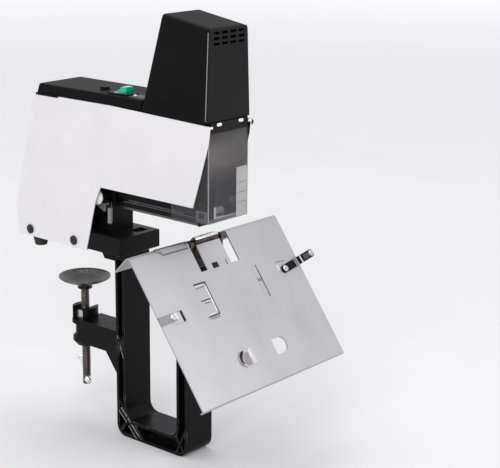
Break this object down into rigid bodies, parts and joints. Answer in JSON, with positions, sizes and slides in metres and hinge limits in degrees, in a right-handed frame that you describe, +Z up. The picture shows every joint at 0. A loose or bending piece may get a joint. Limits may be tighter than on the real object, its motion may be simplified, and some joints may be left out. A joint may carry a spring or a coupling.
{
  "type": "electric stapler",
  "caption": "Desk-clamped electric stapler: sheet-sided head with solenoid tower, clear guard and throat over a channel-section clamp frame that carries a folding saddle table.",
  "frame": {"origin": "on the clamp screw's axis in the desk plane, where the machine is clamped to a desk edge", "axes": "+Z up along the clamp screw, -Y towards the front of the machine (throat and table), +X to the right seen from the front"},
  "size_m": [0.2655, 0.3795, 0.5044],
  "materials": {
    "white_paint": "semi-gloss",
    "grey_paint": "satin",
    "black_casting": "black enamel",
    "black_paint": "satin",
    "black_plastic": "fine texture",
    "black_rubber": "matt",
    "white_plastic": "satin",
    "green_plastic": "translucent gloss",
    "smoky_clear": "clear",
    "table_steel": "satin",
    "bright_steel": "bright zinc",
    "dark_steel": "burnished",
    "copper": "taped winding",
    "board": "satin"
  },
  "bodies": {
    "frame": {"frame_casting": "black_casting", "base_casting": "black_casting", "anvil_block": "dark_steel", "anvil_insert": "bright_steel", "arm_rail": "black_paint", "magazine": "bright_steel", "staple_strip": "bright_steel", "follower_spring": "bright_steel", "nose_plate": "dark_steel", "floor_plate": "black_paint", "head_block": "black_paint", "solenoid_yoke": "dark_steel", "solenoid_coil": "copper", "return_spring": "bright_steel", "side_plate_left": "white_paint", "side_plate_right": "white_paint", "plate_cap_left_front": "black_rubber", "plate_cap_left_rear": "black_rubber", "plate_cap_right_front": "black_rubber", "plate_cap_right_rear": "black_rubber", "rear_cover": "grey_paint", "base_plate": "grey_paint", "foot_rear_left": "black_rubber", "foot_rear_right": "black_rubber", "power_inlet": "black_plastic", "circuit_board": "board", "top_cover": "black_plastic", "tower_shell": "black_plastic", "tower_front_panel": "black_plastic", "switch_bezel": "black_plastic", "guard_hinge_block": "black_plastic", "guard_hinge_rod": "black_plastic", "guard_clip_left": "bright_steel", "guard_clip_right": "bright_steel", "clamp_nut": "bright_steel"},
    "pad": {"clamp_pad": "dark_steel"},
    "screw": {"clamp_screw": "dark_steel"},
    "tommy": {"tommy_bar": "bright_steel", "tommy_ball_near": "bright_steel", "tommy_ball_far": "bright_steel"},
    "table": {"table_plate": "table_steel", "table_pivot_pin_left": "bright_steel", "table_pivot_pin_right": "bright_steel", "left_guide_rivet": "bright_steel", "right_guide_rivet": "bright_steel"},
    "left_side_guide": {"left_guide": "bright_steel"},
    "right_side_guide": {"right_guide": "black_paint", "right_guide_knob": "bright_steel"},
    "guard_cover": {"guard": "smoky_clear"},
    "power_rocker": {"rocker": "green_plastic"},
    "force_dial": {"force_knob": "black_plastic"},
    "driver": {"plunger": "bright_steel", "driver_blade": "bright_steel"},
    "pusher": {"follower": "black_plastic"},
    "depth_stop": {"depth_stop_slider": "bright_steel"},
    "lock_knob": {"stop_knob": "white_plastic"},
    "trigger_pin": {"stop_pin": "white_plastic"}
  },
  "joints": [
    {"name": "clamp_slide", "type": "slide", "parent": "frame", "child": "pad", "axis": [0, 0, 1], "range_m": [-0.018, 0.016]},
    {"name": "clamp_turn", "type": "hinge", "parent": "pad", "child": "screw", "pos_m": [0, 0, -0.1], "axis": [0, 0, 1], "range_deg": [-4320, 3840]},
    {"name": "tommy_slide", "type": "slide", "parent": "screw", "child": "tommy", "axis": [-0.6, -0.8, 0], "range_m": [0, 0.054]},
    {"name": "table_fold", "type": "hinge", "parent": "frame", "child": "table", "pos_m": [0, -0.1931, 0.045], "axis": [-1, 0, 0], "range_deg": [0, 53.9]},
    {"name": "left_guide_turn", "type": "hinge", "parent": "table", "child": "left_side_guide", "pos_m": [-0.101, -0.23817, -0.00961], "axis": [0, -0.808, 0.5892], "range_deg": [-90, 90]},
    {"name": "right_guide_turn", "type": "hinge", "parent": "table", "child": "right_side_guide", "pos_m": [0.0925, -0.23193, -0.00105], "axis": [0, -0.808, 0.5892], "range_deg": [-100, 100]},
    {"name": "guard_open", "type": "hinge", "parent": "frame", "child": "guard_cover", "pos_m": [0, -0.2245, 0.1765], "axis": [-1, 0, 0], "range_deg": [0, 85]},
    {"name": "rocker_tip", "type": "hinge", "parent": "frame", "child": "power_rocker", "pos_m": [-0.019, -0.0882, 0.1964], "axis": [1, 0, 0], "range_deg": [0, 18]},
    {"name": "force_turn", "type": "hinge", "parent": "frame", "child": "force_dial", "pos_m": [-0.01, -0.0502, 0.1978], "axis": [0, 0, -1], "range_deg": [0, 270]},
    {"name": "driver_stroke", "type": "slide", "parent": "frame", "child": "driver", "axis": [0, 0, -1], "range_m": [0, 0.0136], "stiffness_N_per_m": 500, "springref_m": -0.006, "deforming": ["return_spring"]},
    {"name": "follower_slide", "type": "slide", "parent": "frame", "child": "pusher", "axis": [0, 1, 0], "range_m": [0, 0.02], "stiffness_N_per_m": 120, "springref_m": -0.01, "deforming": ["follower_spring"]},
    {"name": "depth_stop_slide", "type": "slide", "parent": "frame", "child": "depth_stop", "axis": [0, -1, 0], "range_m": [0, 0.09]},
    {"name": "lock_knob_turn", "type": "hinge", "parent": "depth_stop", "child": "lock_knob", "pos_m": [-0.021, -0.0525, 0.0758], "axis": [-1, 0, 0], "range_deg": [0, 180]},
    {"name": "trigger_swing", "type": "hinge", "parent": "depth_stop", "child": "trigger_pin", "pos_m": [-0.0195, -0.06485, 0.06847], "axis": [1, 0, 0], "range_deg": [0, 10], "stiffness_Nm_per_rad": 0.01, "springref_deg": -11.46}
  ],
  "couplings": [
    {"joint": "clamp_slide", "follows": "clamp_turn", "m_per_rad": 0.00023873}
  ]
}
